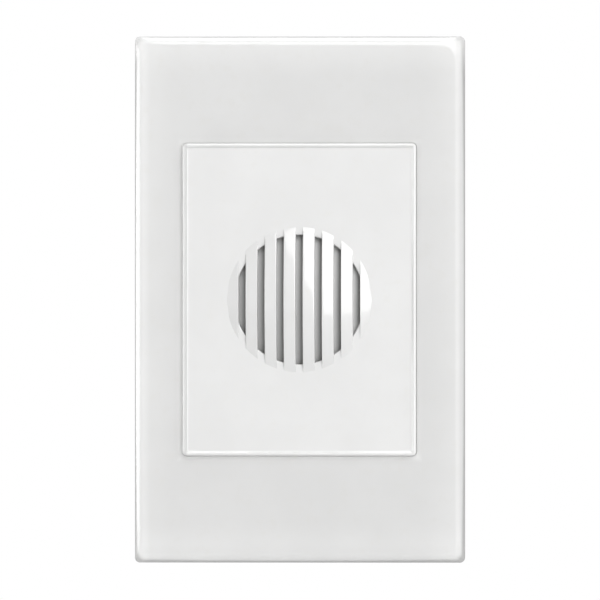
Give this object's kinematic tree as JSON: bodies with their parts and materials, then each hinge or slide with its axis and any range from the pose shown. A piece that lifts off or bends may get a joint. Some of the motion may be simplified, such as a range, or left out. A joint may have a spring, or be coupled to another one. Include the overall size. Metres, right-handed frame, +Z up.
{
  "type": "wall chime",
  "caption": "Flush wall chime: a white trim plate round a raised insert with a domed slotted grille, over a solenoid that strikes two tone bars.",
  "frame": {"origin": "on the wall face, midway between the two wall-box screws", "axes": "+Z up, +Y into the wall, the face to -Y, +X to the right as one looks at the face"},
  "size_m": [0.074, 0.0426, 0.118],
  "materials": {
    "white_plastic": "moulded, gloss",
    "baffle_plastic": "moulded, matt",
    "frame_plastic": "moulded, fine matt",
    "housing_plastic": "moulded, fine matt",
    "plated_steel": "zinc-plated steel",
    "bar_steel": "ground and plated steel",
    "core_steel": "turned soft iron",
    "spring_steel": "drawn spring steel",
    "nylon": "natural nylon",
    "copper": "enamelled copper wire",
    "tape": "polyester tape",
    "tinned_wire": "tinned copper",
    "lead_insulation": "PVC insulation",
    "black_rubber": "soft rubber",
    "terminal_brass": "turned and pressed brass"
  },
  "bodies": {
    "chime_base": {"grille_cover": "white_plastic", "sound_baffle": "baffle_plastic", "mounting_frame": "frame_plastic", "box_screws": "plated_steel", "rear_housing": "housing_plastic", "cover_screws": "plated_steel", "coil_frame": "plated_steel", "coil_frame_screws": "plated_steel", "coil_bobbin": "nylon", "coil_winding": "copper", "coil_wrap": "tape", "coil_pins": "tinned_wire", "coil_leads": "lead_insulation", "tone_bar_low": "bar_steel", "tone_bar_high": "bar_steel", "grommets": "black_rubber", "hanger_pins": "plated_steel", "return_spring": "spring_steel", "terminal_bar_left": "terminal_brass", "terminal_bar_right": "terminal_brass"},
    "plate": {"face_plate": "white_plastic"},
    "plunger": {"plunger_core": "core_steel", "low_striker": "nylon", "high_striker": "nylon"},
    "screw_left": {"terminal_screw_left": "plated_steel"},
    "screw_right": {"terminal_screw_right": "plated_steel"},
    "cage_left": {"terminal_cage_left": "terminal_brass"},
    "cage_right": {"terminal_cage_right": "terminal_brass"}
  },
  "joints": [
    {"name": "plate_pull", "type": "slide", "parent": "chime_base", "child": "plate", "axis": [0, -1, 0], "range_m": [0, 0.016]},
    {"name": "plunger_stroke", "type": "slide", "parent": "chime_base", "child": "plunger", "axis": [1, 0, 0], "range_m": [-0.00095, 0.00395], "stiffness_N_per_m": 60, "deforming": ["return_spring"]},
    {"name": "terminal_left_turn", "type": "hinge", "parent": "chime_base", "child": "screw_left", "pos_m": [-0.01, 0.022, -0.026], "axis": [0, -1, 0], "range_deg": [0, 2160]},
    {"name": "terminal_left_clamp", "type": "slide", "parent": "chime_base", "child": "cage_left", "axis": [0, 1, 0], "range_m": [0, 0.0036]},
    {"name": "terminal_right_turn", "type": "hinge", "parent": "chime_base", "child": "screw_right", "pos_m": [0.01, 0.022, -0.026], "axis": [0, -1, 0], "range_deg": [0, 2160]},
    {"name": "terminal_right_clamp", "type": "slide", "parent": "chime_base", "child": "cage_right", "axis": [0, 1, 0], "range_m": [0, 0.0036]}
  ],
  "couplings": [
    {"joint": "terminal_left_turn", "follows": "terminal_left_clamp", "rad_per_m": 10472},
    {"joint": "terminal_right_turn", "follows": "terminal_right_clamp", "rad_per_m": 10472}
  ]
}
